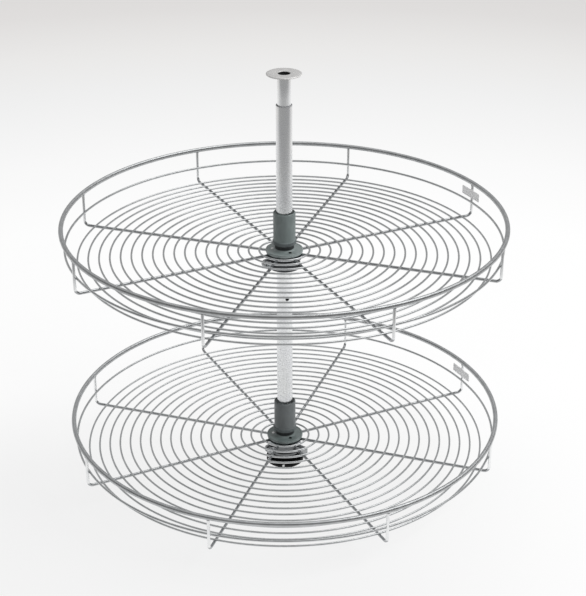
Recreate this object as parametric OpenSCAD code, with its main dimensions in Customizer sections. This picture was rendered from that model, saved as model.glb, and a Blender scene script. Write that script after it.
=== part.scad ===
// Revolving corner unit: two round wire baskets that turn on one telescopic post.
// The origin is the middle of the foot's underside, +Z runs up the post. Millimetres.

/* [Baskets] */
// Diameter of a basket over its rim wire
basket_d = 750; // [560:10:900]
// Depth from the rim wire's centre to the floor wires' centre
basket_depth = 57; // [45:1:90]
// Height of the upper basket over the lower one
tier_spacing = 360; // [300:5:450]
// Thickness of the rim wire
rim_wire = 8; // [6:0.5:10]
// Thickness of the middle ring's wire
mid_wire = 4; // [3:0.5:6]
// Drop from the rim wire's centre to the middle ring's centre
mid_drop = 34; // [26:1:38]
// Thickness of a floor ring's wire
floor_wire = 3.5; // [2.5:0.5:4.5]
// Number of floor rings
floor_rings = 18; // [10:1:22]
// Radius of the innermost floor ring
inner_ring_r = 42.5; // [38:0.5:60]
// Distance from the uprights to the outermost floor ring
floor_edge_gap = 24; // [16:1:40]
// How deep two crossing wires are welded into each other
weld_sink = 0.3; // [0.1:0.1:0.6]

/* [Spokes] */
// Number of spokes, each of which turns up into an upright
spoke_count = 8; // [6:1:10]
// Angle of the first spoke from +X
spoke_turn = 26; // [0:1:44]
// Thickness of a spoke's wire
spoke_wire = 5; // [4:0.5:6.5]
// Radius of a spoke's bend, to the wire's centre
spoke_bend_r = 9; // [6:0.5:16]
// Radius at which the spokes end under the hub
spoke_inner_r = 24.5; // [24.5:0.5:28]
// How deep an upright's end is welded into the rim wire
rim_weld = 1.2; // [0.8:0.1:1.5]

/* [Blank plate] */
// Length of the bare plate on the first upright
plate_l = 54; // [40:1:70]
// Height of the bare plate
plate_h = 15; // [10:1:18]
// Thickness of the bare plate
plate_t = 1; // [0.6:0.1:1.5]
// Drop from the rim wire's centre to the plate's top edge
plate_drop = 12; // [8:1:14]
// Corner radius of the bare plate
plate_corner_r = 2; // [1:0.5:4]

/* [Post] */
// Diameter of the outer tube
tube_d = 27; // [24:0.5:30]
// Wall of the outer tube
tube_wall = 1.5; // [1:0.1:2]
// Height of the outer tube's mouth over the floor
tube_top = 666; // [640:1:760]
// Diameter of the cross hole for the lower basket height
height_hole_d = 7; // [4:0.1:8]
// Height of that hole over the floor
height_hole_z = 324; // [250:1:340]
// Angle of that hole from +X
height_hole_turn = -69; // [-180:1:180]
// Diameter of the small pin hole under the upper clamp
pin_hole_d = 3.2; // [2:0.1:5]
// Distance from the upper clamp's underside down to the pin hole
pin_hole_drop = 12; // [4:1:20]
// Angle of the pin hole from +X
pin_hole_turn = -46; // [-180:1:180]
// Length of the short slot beside the pin hole
slot_l = 11; // [6:0.5:16]
// Height of that slot
slot_h = 2; // [1:0.1:3]
// Angle of that slot from +X
slot_turn = -104; // [-180:1:-100]

/* [Extension] */
// Diameter of the inner tube
inner_d = 22.5; // [18:0.1:22.7]
// Wall of the inner tube
inner_wall = 1.3; // [0.8:0.1:2]
// Length of inner tube that shows above the outer tube
extension_out = 52.5; // [40:0.5:120]
// Length of inner tube held inside the outer tube
extension_held = 200; // [120:5:260]
// Diameter of the top flange
top_flange_d = 58; // [44:1:80]
// Thickness of the top flange
top_flange_t = 2.5; // [2:0.5:5]
// Diameter of the hole in the top flange
top_hole_d = 20.5; // [12:0.1:20.6]
// Depth of the tube's seat under the top flange
top_seat = 1; // [0.5:0.1:1.5]
// Length of the guide bush inside the tube's mouth
bush_l = 25; // [15:1:40]
// Thickness of the guide bush's collar
bush_collar_t = 1; // [1:0.1:4]
// Length of the guide ring under the inner tube
guide_l = 14; // [8:1:20]

/* [Foot] */
// Diameter of the foot
foot_d = 66; // [65:1:80]
// Height of the foot
foot_h = 21; // [16:1:30]
// Height of the foot's wide rim
foot_rim_h = 8; // [8:0.5:12]
// Diameter of the foot's socket, which the lower collar rests on
foot_socket_d = 44; // [40:0.5:45]
// Thickness of the foot under the tube
foot_floor = 2.5; // [2:0.5:2.5]
// Number of fixing holes in the foot
foot_holes = 3; // [3:1:4]
// Diameter of the circle of the fixing holes
foot_pcd = 54.5; // [53.5:0.5:55]
// Diameter of a fixing hole
foot_hole_d = 4.5; // [3.5:0.1:5.5]
// Diameter of the counterbore over a fixing hole
foot_counter_d = 7.6; // [7:0.1:8]
// Thickness of the foot under a counterbore
foot_web = 4.5; // [3:0.5:7]
// Diameter of the foot's set screw
set_screw_d = 4; // [3:0.1:4.2]
// Length of the set screw that stands out of the foot
set_screw_out = 2.5; // [1:0.5:4]
// Angle of the set screw from +X
set_screw_turn = -95; // [-100:1:-80]

/* [Clamp collar] */
// Diameter of the collar's top and bottom discs
clamp_d = 57; // [50:1:60]
// Height of the collar
clamp_h = 18; // [16:0.5:24]
// Diameter of the collar's waist
waist_d = 50; // [44:1:54]
// Height of the collar's top disc and of its bottom disc
clamp_disc_h = 4; // [3:0.5:5]
// Reach of the clamp ears from the post's axis
ear_reach = 40; // [38:0.5:48]
// Thickness of one clamp ear
ear_t = 5; // [4:0.5:8]
// Height of the clamp ears
ear_h = 14; // [12:0.5:16]
// Width of the split between the ears
clamp_split = 3; // [2:0.5:4]
// Diameter of the clamp screw
clamp_screw_d = 4; // [3:0.5:5]
// Width of the clamp nut over its flats
nut_af = 7; // [6:0.5:8]
// Angle of the upper collar's ears from +X
upper_ear_turn = 204; // [180:1:260]
// Angle of the lower collar's ears from +X
lower_ear_turn = 214; // [180:1:260]
// Reach of the lower collar's fixing lug from the post's axis
lug_reach = 49; // [44:0.5:52]
// Width of the fixing lug
lug_w = 10; // [8:0.5:12]
// Height of the fixing lug
lug_h = 14; // [10:0.5:15]
// Diameter of the hole down the fixing lug
lug_hole_d = 4.2; // [3:0.1:5]
// Angle of the fixing lug from +X
lug_turn = -37; // [-60:1:-20]
// Diameter of the thrust washer
washer_d = 52; // [44:1:56]
// Thickness of the thrust washer
washer_t = 2; // [1:0.1:4]

/* [Hub] */
// Diameter of the steel plate that carries the spokes
hub_plate_d = 60; // [56:1:64]
// Thickness of the hub plate
hub_plate_t = 2.5; // [2:0.5:4]
// Diameter of the hub flange
flange_d = 63; // [60:0.5:66]
// Thickness of the hub flange
flange_t = 4.75; // [3.5:0.25:7]
// Width of the raised edge round the hub flange
flange_lip = 3; // [2:0.5:4]
// Depth of the dish inside the raised edge
flange_dish = 0.8; // [0.4:0.1:1.5]
// Diameter of the hub's neck
neck_d = 33; // [32:0.5:34]
// Height of the neck that shows under the skirt
neck_show = 10.5; // [6:0.5:14]
// Length of the neck inside the sleeve
neck_held = 9; // [6:0.5:12]
// Diameter of the hub sleeve
sleeve_d = 37.5; // [36:0.5:39]
// Height of the hub sleeve over the hub flange
sleeve_top = 67; // [50:1:80]
// Diameter of the skirt at the sleeve's lower end
skirt_d = 40.4; // [39.5:0.1:44]
// Height of the skirt
skirt_h = 6; // [4:0.5:10]
// Diameter of the sleeve's wide mouth
mouth_d = 33.4; // [30:0.2:34]
// Depth of the sleeve's wide mouth
mouth_depth = 6; // [3:0.5:12]
// Diameter of the small hole near the sleeve's mouth
sleeve_hole_d = 2.6; // [2:0.1:4]
// Distance from the sleeve's top down to the small hole
sleeve_hole_drop = 10; // [9:0.5:16]
// Angle of the upper sleeve's small hole from +X
sleeve_hole_turn = -105; // [-180:1:180]
// Number of hub screws
hub_screws = 3; // [3:1:4]
// Radius of the circle of the hub screws
hub_screw_r = 20.5; // [20:0.1:21]
// Angle of the first hub screw from +X
hub_screw_turn = 58; // [0:1:119]
// Diameter of a hub screw's thread
hub_screw_d = 3; // [2.5:0.1:3.5]
// Diameter of a hub screw's head
hub_head_d = 5.6; // [4.5:0.1:6]
// Height of a hub screw's head
hub_head_h = 2.2; // [1.5:0.1:3]
// How far a hub screw's head is let into the flange
hub_head_sink = 0.8; // [0.4:0.1:1.2]

/* [Fits] */
// Radial gap of a turning or sliding fit
run_fit = 0.06; // [0.02:0.01:0.1]
// Radial gap between pieces that stay put
still_fit = 0.05; // [0.02:0.01:0.1]
// Gap between the turning hub plate and the thrust washer
thrust_gap = 0.2; // [0.1:0.05:0.4]
// Chamfer on turned and moulded edges
edge = 1; // [0.4:0.1:1.4]
// Chamfer on thin rings and plugs
thin_edge = 0.4; // [0.2:0.05:0.5]

/* [Hidden] */
$fn = 64;
big_fn = 180;
wire_fn = 24;
eps = 0.01;

tube_r = tube_d / 2;
bore_r = tube_r - tube_wall;
inner_r = inner_d / 2;

// Heights over a clamp collar's underside
washer_z = clamp_h;
plate_z = washer_z + washer_t + thrust_gap;
spoke_z = plate_z + hub_plate_t + spoke_wire / 2 - weld_sink;
floor_z = spoke_z + spoke_wire / 2 + floor_wire / 2 - weld_sink;
flange_z = spoke_z + spoke_wire / 2;
flange_top_z = flange_z + flange_t;
skirt_z = flange_top_z + neck_show;
sleeve_end_z = flange_top_z + sleeve_top;
rim_z = floor_z + basket_depth;

// Heights of the two collars over the floor
lower_z = foot_h;
upper_z = foot_h + tier_spacing;

// Clamp screw's height over a collar's underside, and its nut's height
screw_z = clamp_h / 2;
nut_h = clamp_screw_d * 0.8;

rim_r = (basket_d - rim_wire) / 2;
upright_r = rim_r;
mid_r = upright_r - spoke_wire / 2 - mid_wire / 2 + weld_sink;
outer_ring_r = upright_r - floor_edge_gap;
ring_pitch = (outer_ring_r - inner_ring_r) / (floor_rings - 1);

inner_top = tube_top + extension_out;
inner_bottom = tube_top - extension_held;
boss_r = spoke_inner_r - 1;
half_turn = 180;
socket_share = 0.6;   // a hexagon socket's depth over its screw's diameter
set_screw_z = foot_floor + set_screw_d / 2 + thin_edge;
clear_r = tube_r + run_fit;

wire_color = [0.78, 0.79, 0.80];
tube_color = [0.72, 0.72, 0.73];
hub_color = [0.30, 0.35, 0.35];
dark_color = [0.10, 0.10, 0.11];

// A cylinder with chamfered ends
module turned(r, h, c = edge) {
    rotate_extrude()
        polygon([[0, 0], [r - c, 0], [r, c], [r, h - c], [r - c, h], [0, h]]);
}

module ring(r, wire) {
    rotate_extrude($fn = big_fn) translate([r, 0]) circle(d = wire, $fn = wire_fn);
}

module around(count, turn) {
    for (i = [0 : count - 1]) rotate([0, 0, turn + i * 360 / count]) children();
}

// ---- Post ----

// Wide rim that is screwed down, with a socket for the tube on it
module base_foot() {
    foot_r = foot_d / 2;
    socket_r = foot_socket_d / 2;
    color(dark_color) difference() {
        rotate_extrude() polygon([
            [0, 0], [foot_r - edge / 2, 0], [foot_r, edge / 2], [foot_r, foot_rim_h - edge],
            [foot_r - edge, foot_rim_h], [socket_r + edge / 2, foot_rim_h],
            [socket_r, foot_rim_h + edge / 2], [socket_r, foot_h - edge / 2],
            [socket_r - edge / 2, foot_h], [0, foot_h]
        ]);
        translate([0, 0, foot_floor]) cylinder(r = tube_r + still_fit, h = foot_h);
        around(foot_holes, 90) translate([foot_pcd / 2, 0, 0]) {
            translate([0, 0, -eps]) cylinder(d = foot_hole_d, h = foot_h);
            translate([0, 0, foot_web]) cylinder(d = foot_counter_d, h = foot_h);
        }
        rotate([0, 0, set_screw_turn]) translate([0, 0, set_screw_z]) rotate([0, 90, 0])
            cylinder(r = set_screw_d / 2 + still_fit, h = foot_d);
    }
}

module foot_set_screw() {
    length = foot_d / 2 + set_screw_out - tube_r - still_fit;
    socket_d = set_screw_d / 2;
    color(tube_color) rotate([0, 0, set_screw_turn])
        translate([tube_r + still_fit, 0, set_screw_z]) rotate([0, 90, 0]) difference() {
            turned(set_screw_d / 2, length, thin_edge);
            translate([0, 0, length - set_screw_d * socket_share])
                cylinder(d = socket_d, h = set_screw_d, $fn = 6);
        }
}

module cross_hole(turn, z, d) {
    rotate([0, 0, turn]) translate([bore_r / 2, 0, z]) rotate([0, 90, 0])
        cylinder(d = d, h = tube_r);
}

module outer_tube() {
    color(tube_color) difference() {
        translate([0, 0, foot_floor]) cylinder(r = tube_r, h = tube_top - foot_floor);
        translate([0, 0, foot_floor - eps]) cylinder(r = bore_r, h = tube_top);
        cross_hole(height_hole_turn, height_hole_z, height_hole_d);
        cross_hole(pin_hole_turn, upper_z - pin_hole_drop, pin_hole_d);
        rotate([0, 0, slot_turn]) translate([tube_r, 0, upper_z - pin_hole_drop])
            cube([tube_r, slot_l, slot_h], center = true);
    }
}

// Thin liner in the tube's mouth, with a collar that rests on the tube's end
module guide_bush() {
    color(dark_color) translate([0, 0, tube_top]) rotate_extrude() polygon([
        [inner_r + run_fit, -bush_l], [bore_r - still_fit, -bush_l], [bore_r - still_fit, 0],
        [tube_r, 0], [tube_r, bush_collar_t - thin_edge], [tube_r - thin_edge, bush_collar_t],
        [inner_r + run_fit, bush_collar_t]
    ]);
}

module inner_tube() {
    color(tube_color) difference() {
        translate([0, 0, inner_bottom]) cylinder(r = inner_r, h = inner_top - inner_bottom);
        translate([0, 0, inner_bottom - eps])
            cylinder(r = inner_r - inner_wall, h = inner_top - inner_bottom + 2 * eps);
    }
}

// Ring plugged into the inner tube's lower end, which slides in the outer tube
module inner_guide() {
    plug_r = inner_r - inner_wall - still_fit;
    plug_l = guide_l / 2;
    hole_r = plug_r / 2;
    color(dark_color) translate([0, 0, inner_bottom]) rotate_extrude() polygon([
        [hole_r, -guide_l], [bore_r - run_fit - thin_edge, -guide_l],
        [bore_r - run_fit, thin_edge - guide_l], [bore_r - run_fit, 0], [plug_r, 0],
        [plug_r, plug_l - thin_edge], [plug_r - thin_edge, plug_l],
        [hole_r, plug_l]
    ]);
}

module top_flange() {
    color(wire_color) difference() {
        translate([0, 0, inner_top - top_seat])
            turned(top_flange_d / 2, top_flange_t, thin_edge);
        translate([0, 0, inner_top - 2 * top_seat]) cylinder(r = inner_r + still_fit, h = 2 * top_seat);
        translate([0, 0, inner_top - top_seat]) cylinder(d = top_hole_d, h = 2 * top_flange_t);
    }
}

// ---- Clamp collars ----

module clamp_collar(z, turn) {
    disc_r = clamp_d / 2;
    waist_r = waist_d / 2;
    ear_end_r = ear_h / 2;
    color(tube_color) translate([0, 0, z]) rotate([0, 0, turn]) difference() {
        union() {
            rotate_extrude() polygon([
                [0, 0], [disc_r - edge, 0], [disc_r, edge], [disc_r, clamp_disc_h],
                [waist_r, clamp_disc_h + edge], [waist_r, clamp_h - clamp_disc_h - edge],
                [disc_r, clamp_h - clamp_disc_h], [disc_r, clamp_h - edge / 2],
                [disc_r - edge / 2, clamp_h], [0, clamp_h]
            ]);
            // Two ears with round ends, cut apart by the split below
            translate([0, clamp_split / 2 + ear_t, screw_z]) rotate([90, 0, 0])
                linear_extrude(clamp_split + 2 * ear_t) union() {
                    translate([0, -ear_end_r]) square([ear_reach - ear_end_r, ear_h]);
                    translate([ear_reach - ear_end_r, 0]) circle(r = ear_end_r);
                }
        }
        translate([0, 0, -eps]) cylinder(r = tube_r + still_fit, h = clamp_h + 2 * eps);
        translate([0, -clamp_split / 2, -eps]) cube([ear_reach + 1, clamp_split, clamp_h + 2 * eps]);
        translate([ear_reach - ear_end_r, clamp_d / 2, screw_z]) rotate([90, 0, 0])
            cylinder(r = clamp_screw_d / 2 + still_fit, h = clamp_d);
    }
}

// Lower collar: the same clamp with one more lug, drilled from above
module lug_collar(z, turn) {
    hole_at = [lug_reach - lug_w / 2, 0, 0];
    difference() {
        union() {
            clamp_collar(z, turn);
            color(tube_color) translate([0, 0, z + screw_z - lug_h / 2]) rotate([0, 0, lug_turn])
                difference() {
                    linear_extrude(lug_h) union() {
                        translate([0, -lug_w / 2]) square([hole_at[0], lug_w]);
                        translate([hole_at[0], 0]) circle(d = lug_w);
                    }
                    translate([0, 0, -eps]) cylinder(d = waist_d - 2 * edge, h = lug_h + 2 * eps);
                }
        }
        translate([0, 0, z]) rotate([0, 0, lug_turn]) translate(hole_at)
            cylinder(d = lug_hole_d, h = clamp_h);
    }
}

// Cap screw across the two ears
module clamp_screw(z, turn) {
    head_r = clamp_screw_d * 0.85;
    head_h = clamp_screw_d;
    grip = clamp_split + 2 * ear_t;
    color(wire_color) translate([0, 0, z]) rotate([0, 0, turn])
        translate([ear_reach - ear_h / 2, -grip / 2, screw_z]) rotate([-90, 0, 0]) difference() {
            union() {
                cylinder(d = clamp_screw_d, h = grip + nut_h + edge);
                translate([0, 0, -head_h]) turned(head_r, head_h, thin_edge);
            }
            translate([0, 0, -head_h - eps]) cylinder(r = head_r / 2, h = head_h * socket_share, $fn = 6);
        }
}

module clamp_nut(z, turn) {
    color(wire_color) translate([0, 0, z]) rotate([0, 0, turn])
        translate([ear_reach - ear_h / 2, clamp_split / 2 + ear_t, screw_z]) rotate([-90, 0, 0])
            difference() {
                cylinder(d = nut_af / cos(30), h = nut_h, $fn = 6);
                translate([0, 0, -eps]) cylinder(r = clamp_screw_d / 2 + still_fit, h = nut_h + 2 * eps);
            }
}

module thrust_washer(z) {
    color(dark_color) translate([0, 0, z + washer_z]) difference() {
        turned(washer_d / 2, washer_t, thin_edge);
        translate([0, 0, -eps]) cylinder(r = clear_r, h = washer_t + 2 * eps);
    }
}

// ---- Baskets: z is the height of the collar underneath ----

module rim_ring(z) {
    color(wire_color) translate([0, 0, z + rim_z]) ring(rim_r, rim_wire);
}

module mid_ring(z) {
    color(wire_color) translate([0, 0, z + rim_z - mid_drop]) ring(mid_r, mid_wire);
}

module floor_ring_set(z) {
    color(wire_color) translate([0, 0, z + floor_z])
        for (i = [0 : floor_rings - 1]) ring(inner_ring_r + i * ring_pitch, floor_wire);
}

// A spoke runs out under the floor rings and turns up into an upright
module bent_spoke() {
    bend_x = upright_r - spoke_bend_r;
    upright_h = rim_z - rim_wire / 2 + rim_weld - spoke_z - spoke_bend_r;
    translate([spoke_inner_r, 0, 0]) rotate([0, 90, 0])
        cylinder(d = spoke_wire, h = bend_x - spoke_inner_r, $fn = 32);
    translate([bend_x, 0, spoke_bend_r]) rotate([90, 0, 0]) rotate([0, 0, -90])
        rotate_extrude(angle = 90) translate([spoke_bend_r, 0]) circle(d = spoke_wire, $fn = 32);
    translate([upright_r, 0, spoke_bend_r]) cylinder(d = spoke_wire, h = upright_h, $fn = 32);
}

module spokes(z) {
    color(wire_color) translate([0, 0, z + spoke_z]) around(spoke_count, spoke_turn) bent_spoke();
}

// Bare plate welded to the inner side of the first upright
module blank_plate(z) {
    half_l = plate_l / 2;
    r = plate_corner_r;
    color([0.86, 0.87, 0.88]) rotate([0, 0, spoke_turn])
        translate([upright_r - spoke_wire / 2 - plate_t + weld_sink / 2, 0, z + rim_z - plate_drop])
            rotate([90, 0, 90]) linear_extrude(plate_t) union() {
                translate([-half_l + r, -plate_h]) square([plate_l - 2 * r, plate_h]);
                translate([-half_l, r - plate_h]) square([plate_l, plate_h - 2 * r]);
                for (x = [r - half_l, half_l - r], y = [-r, r - plate_h])
                    translate([x, y]) circle(r = r, $fn = 32);
            }
}

// Steel disc that the spokes' inner ends are welded to
module hub_plate(z) {
    color(tube_color) translate([0, 0, z + plate_z]) difference() {
        turned(hub_plate_d / 2, hub_plate_t, thin_edge);
        translate([0, 0, -eps]) cylinder(r = clear_r, h = hub_plate_t + 2 * eps);
        around(hub_screws, hub_screw_turn) translate([hub_screw_r, 0, -eps])
            cylinder(r = hub_screw_d / 2 + still_fit, h = hub_plate_t + 2 * eps);
    }
}

// Moulded flange: boss between the spokes' ends, dished disc on the spokes, neck up to the sleeve
module hub_flange(z) {
    disc_r = flange_d / 2;
    neck_r = neck_d / 2;
    boss_z = plate_z + hub_plate_t;
    dish_z = flange_top_z - flange_dish;
    neck_end = skirt_z + neck_held;
    color(hub_color) translate([0, 0, z]) difference() {
        rotate_extrude() polygon([
            [clear_r, boss_z], [boss_r, boss_z], [boss_r, flange_z],
            [disc_r - edge / 2, flange_z], [disc_r, flange_z + edge / 2],
            [disc_r, flange_top_z - edge], [disc_r - edge, flange_top_z],
            [disc_r - flange_lip, flange_top_z], [disc_r - flange_lip - flange_dish, dish_z],
            [neck_r, dish_z], [neck_r, neck_end - edge / 2], [neck_r - edge / 2, neck_end],
            [clear_r, neck_end]
        ]);
        around(hub_screws, hub_screw_turn) translate([hub_screw_r, 0, 0]) {
            translate([0, 0, boss_z - eps])
                cylinder(r = hub_screw_d / 2 + still_fit, h = flange_top_z - boss_z);
            translate([0, 0, dish_z - hub_head_sink])
                cylinder(r = hub_head_d / 2 + still_fit, h = flange_t);
        }
    }
}

// Long sleeve over the neck, with a skirt below and a wide mouth at the top
module hub_sleeve(z, hole_turn) {
    outer_r = sleeve_d / 2;
    skirt_r = skirt_d / 2;
    socket_r = neck_d / 2 + still_fit;
    socket_z = skirt_z + neck_held;
    mouth_r = mouth_d / 2;
    mouth_z = sleeve_end_z - mouth_depth;
    color(hub_color) translate([0, 0, z]) difference() {
        rotate_extrude() polygon([
            [socket_r, skirt_z], [skirt_r - edge / 2, skirt_z], [skirt_r, skirt_z + edge / 2],
            [skirt_r, skirt_z + skirt_h - edge / 2], [skirt_r - edge / 2, skirt_z + skirt_h],
            [outer_r, skirt_z + skirt_h], [outer_r, sleeve_end_z - edge / 2],
            [outer_r - edge / 2, sleeve_end_z], [mouth_r, sleeve_end_z], [mouth_r, mouth_z],
            [clear_r + edge, mouth_z], [clear_r, mouth_z - edge], [clear_r, socket_z],
            [socket_r, socket_z]
        ]);
        rotate([0, 0, hole_turn]) translate([clear_r / 2, 0, sleeve_end_z - sleeve_hole_drop])
            rotate([0, 90, 0]) cylinder(d = sleeve_hole_d, h = outer_r);
    }
}

module hub_screw_set(z) {
    head_z = flange_top_z - flange_dish - hub_head_sink;
    shank_l = head_z - plate_z;
    color(wire_color) translate([0, 0, z]) around(hub_screws, hub_screw_turn)
        translate([hub_screw_r, 0, 0]) {
            translate([0, 0, plate_z]) cylinder(d = hub_screw_d, h = shank_l);
            translate([0, 0, head_z]) rotate_extrude() polygon([
                [0, 0], [hub_head_d / 2, 0], [hub_head_d / 2, hub_head_h / 2],
                [hub_head_d / 2 - hub_head_h / 2, hub_head_h], [0, hub_head_h]
            ]);
        }
}

base_foot();
foot_set_screw();
outer_tube();
guide_bush();
inner_tube();
inner_guide();
top_flange();
lug_collar(lower_z, lower_ear_turn);  // lower_clamp_collar
clamp_screw(lower_z, lower_ear_turn);  // lower_clamp_screw
clamp_nut(lower_z, lower_ear_turn);  // lower_clamp_nut
thrust_washer(lower_z);  // lower_thrust_washer
clamp_collar(upper_z, upper_ear_turn);  // upper_clamp_collar
clamp_screw(upper_z, upper_ear_turn);  // upper_clamp_screw
clamp_nut(upper_z, upper_ear_turn);  // upper_clamp_nut
thrust_washer(upper_z);  // upper_thrust_washer
rim_ring(lower_z);  // lower_rim_ring
mid_ring(lower_z);  // lower_mid_ring
floor_ring_set(lower_z);  // lower_floor_rings
spokes(lower_z);  // lower_spokes
blank_plate(lower_z);  // lower_blank_plate
hub_plate(lower_z);  // lower_hub_plate
hub_flange(lower_z);  // lower_hub_flange
hub_sleeve(lower_z, sleeve_hole_turn + half_turn);  // lower_hub_sleeve
hub_screw_set(lower_z);  // lower_hub_screws
rim_ring(upper_z);  // upper_rim_ring
mid_ring(upper_z);  // upper_mid_ring
floor_ring_set(upper_z);  // upper_floor_rings
spokes(upper_z);  // upper_spokes
blank_plate(upper_z);  // upper_blank_plate
hub_plate(upper_z);  // upper_hub_plate
hub_flange(upper_z);  // upper_hub_flange
hub_sleeve(upper_z, sleeve_hole_turn);  // upper_hub_sleeve
hub_screw_set(upper_z);  // upper_hub_screws
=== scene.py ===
# Revolving corner unit: two chromed wire baskets that turn on a telescopic post.
import bmesh
import bpy
import math
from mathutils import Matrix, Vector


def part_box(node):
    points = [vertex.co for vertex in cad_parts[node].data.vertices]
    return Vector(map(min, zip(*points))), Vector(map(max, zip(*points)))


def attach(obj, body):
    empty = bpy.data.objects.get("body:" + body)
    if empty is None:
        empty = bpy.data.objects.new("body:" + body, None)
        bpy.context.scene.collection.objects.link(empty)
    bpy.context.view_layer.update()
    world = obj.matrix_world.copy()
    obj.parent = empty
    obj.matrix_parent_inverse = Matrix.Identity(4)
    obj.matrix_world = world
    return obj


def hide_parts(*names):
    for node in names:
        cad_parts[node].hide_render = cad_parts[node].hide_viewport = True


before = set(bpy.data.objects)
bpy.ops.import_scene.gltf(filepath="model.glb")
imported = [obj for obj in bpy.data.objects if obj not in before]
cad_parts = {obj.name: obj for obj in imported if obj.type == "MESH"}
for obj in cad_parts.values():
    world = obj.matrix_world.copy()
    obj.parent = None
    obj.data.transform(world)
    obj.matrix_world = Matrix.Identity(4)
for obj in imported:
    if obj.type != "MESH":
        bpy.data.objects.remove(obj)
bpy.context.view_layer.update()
mm = 0.001
fullTurn = math.tau
firstUpright = 26    # degrees from +X to the upright that carries the bare plate

# Camera, at the photograph's angle
photoView = {
    "frame": (586, 596),    # pixels
    "place": (0.0, -2.37032, 1.45616),
    "lookDown": 0.447239,    # radians under the horizon
    "lookRight": 0.006455,
    "focalPixels": 1533.24,
    "axisPixels": (0.5, 0.5),    # the optical axis right of and under the frame's middle
    "sensor": 36.0,
    "farClip": 100.0,
}
longSide = max(photoView["frame"])
camera = bpy.data.objects.new("photoCamera", bpy.data.cameras.new("photoCamera"))
bpy.context.scene.collection.objects.link(camera)
camera.location = photoView["place"]
camera.rotation_euler = (math.pi / 2 - photoView["lookDown"], 0, -photoView["lookRight"])
camera.data.sensor_width = photoView["sensor"]
camera.data.lens = photoView["focalPixels"] * photoView["sensor"] / longSide
camera.data.shift_x = -photoView["axisPixels"][0] / longSide
camera.data.shift_y = photoView["axisPixels"][1] / longSide
camera.data.clip_end = photoView["farClip"]
bpy.context.scene.camera = camera
bpy.context.scene.view_settings.view_transform = "Standard"
print("camera set")


# Materials
def linearColour(hexColour):
    parts = [int(hexColour[i:i + 2], 16) / 255 for i in (1, 3, 5)]
    return tuple(c / 12.92 if c <= 0.04045 else ((c + 0.055) / 1.055) ** 2.4 for c in parts) + (1.0,)


def perMetre(millimetres):  # texture scale that gives grains of this size
    return 1 / (millimetres * mm)


def addNode(tree, kind, settings=None, links=None):
    node = tree.nodes.new("ShaderNode" + kind)
    for key, value in (settings or {}).items():
        if isinstance(key, int) or key in node.inputs:
            node.inputs[key].default_value = value
        else:
            setattr(node, key, value)
    for key, source in (links or {}).items():
        tree.links.new(source, node.inputs[key])
    return node


def startMaterial(name, settings):
    material = bpy.data.materials.new(name)
    material.use_nodes = True
    tree = material.node_tree
    tree.nodes.clear()
    shader = addNode(tree, "BsdfPrincipled", settings)
    addNode(tree, "OutputMaterial", links={"Surface": shader.outputs["BSDF"]})
    return material, addNode(tree, "TexCoord").outputs["Object"]


def grain(place, size, stretch=(1, 1, 1), detail=3.0, distortion=0.0):
    # noise with grains of size mm, drawn out along an axis where stretch is under 1
    tree = place.id_data
    mapped = addNode(tree, "Mapping", {"Scale": stretch}, {"Vector": place})
    noise = addNode(tree, "TexNoise", {"Scale": perMetre(size), "Detail": detail, "Distortion": distortion},
                    {"Vector": mapped.outputs["Vector"]})
    return noise.outputs["Fac"]


def fromAxis(place):  # distance from the post's axis
    tree = place.id_data
    flat = addNode(tree, "VectorMath", {"operation": "MULTIPLY", 1: (1, 1, 0)}, {0: place})
    return addNode(tree, "VectorMath", {"operation": "LENGTH"}, {0: flat.outputs["Vector"]}).outputs["Value"]


usedNoise = {"From Min": 0.35, "From Max": 0.65}    # the part of a noise's range that finishes use


def finishSurface(material, tinted, colours, roughened, roughness, raised=None, depth=0.0, strength=1.0):
    # colour, roughness and relief each follow a pattern; depth is in mm
    tree = material.node_tree
    shader = tree.nodes["Principled BSDF"]
    tint = addNode(tree, "MapRange", usedNoise, {"Value": tinted})
    mix = addNode(tree, "Mix", {"data_type": "RGBA", 6: linearColour(colours[0]), 7: linearColour(colours[1])},
                  {0: tint.outputs["Result"]})
    tree.links.new(mix.outputs[2], shader.inputs["Base Color"])
    rough = addNode(tree, "MapRange", {**usedNoise, "To Min": roughness[0], "To Max": roughness[1]},
                    {"Value": roughened})
    tree.links.new(rough.outputs["Result"], shader.inputs["Roughness"])
    if raised is not None:
        bump = addNode(tree, "Bump", {"Distance": depth * mm, "Strength": strength}, {"Height": raised})
        tree.links.new(bump.outputs["Normal"], shader.inputs["Normal"])
    return material


def chromedWire(name, colours, roughness=(0.12, 0.22)):
    # Bright nickel-chrome on drawn steel wire: a mirror with a faint waviness from the drawing die
    material, place = startMaterial(name, {"Metallic": 1.0})
    haze = grain(place, 18, detail=2)
    # the real waviness is finer than a pixel, so it is drawn 2.5 mm long
    waves = grain(place, 2.5, detail=2)
    return finishSurface(material, haze, colours, grain(place, 5), roughness, waves, 0.05, 0.35)


def weldedChrome():
    # Chrome over a resistance weld: the squeezed-out steel stays grainy under the plating
    material, place = startMaterial("chrome over weld flash", {"Metallic": 1.0})
    spots = grain(place, 0.9, detail=4)
    grit = grain(place, 0.7, detail=4)
    return finishSurface(material, spots, ("#A9ABAD", "#C6C8CA"), spots, (0.18, 0.36), grit, 0.12, 0.6)


def chromedTube():
    # Tube polished on a belt, then chromed: fine lines run round it and soften the reflection
    material, place = startMaterial("satin chrome on polished tube", {"Metallic": 1.0})
    # the lines are drawn 0.7 mm apart, coarser than real, so that they show
    lines = grain(place, 6, stretch=(1, 1, 9), detail=5)
    haze = grain(place, 30, detail=2)
    return finishSurface(material, haze, ("#F3F4F6", "#F9FAFA"), lines, (0.2, 0.3), lines, 0.01, 0.15)


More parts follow.
